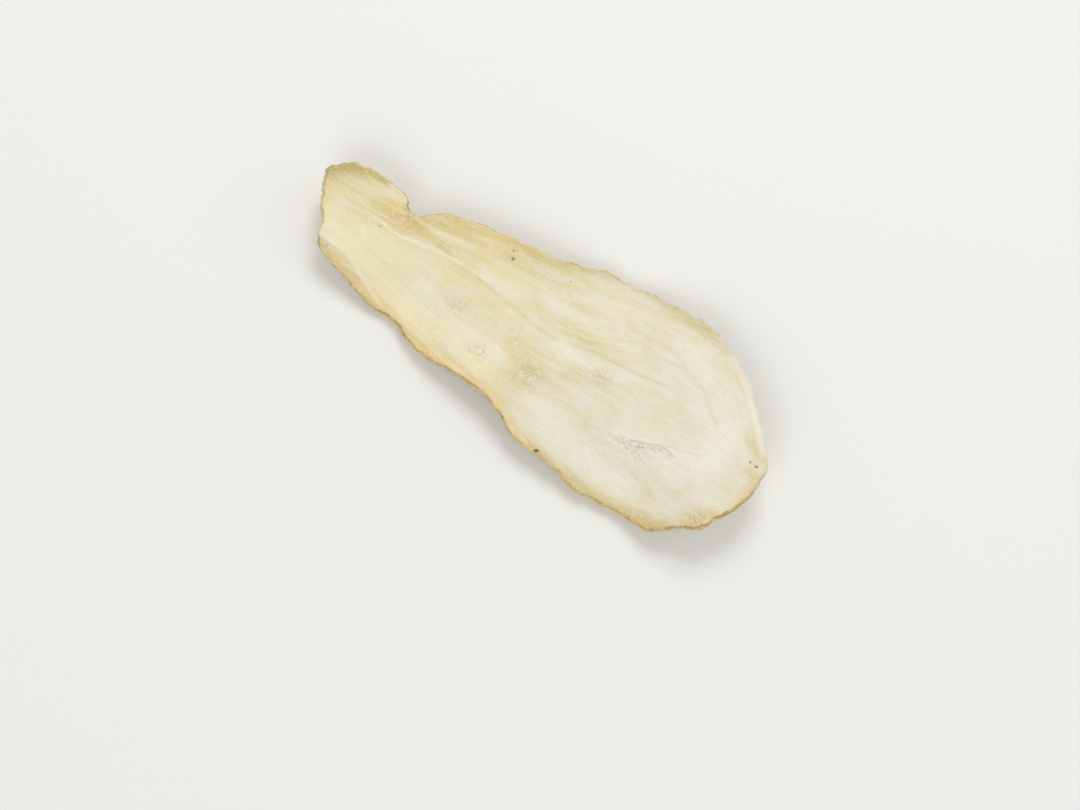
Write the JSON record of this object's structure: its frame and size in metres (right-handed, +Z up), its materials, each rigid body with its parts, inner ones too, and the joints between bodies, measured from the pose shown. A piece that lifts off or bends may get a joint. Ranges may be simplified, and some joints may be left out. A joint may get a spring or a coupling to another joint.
{
  "type": "dried root slice",
  "caption": "Thin lengthwise slice of dried Solomon's seal root, narrow at one end and broad and round at the other, curled and rimmed with skin.",
  "frame": {"origin": "on the surface that the slice lies on, under the middle of its bounding box", "axes": "+X along the slice, from its narrow broken end to its broad round end; +Z up, through the thickness"},
  "size_m": [0.0764, 0.0304, 0.0083],
  "materials": {
    "dried_root": "matt, fibrous, cream flesh with a tan rim of skin"
  },
  "bodies": {
    "root": {"root_slice": "dried_root"}
  },
  "joints": []
}
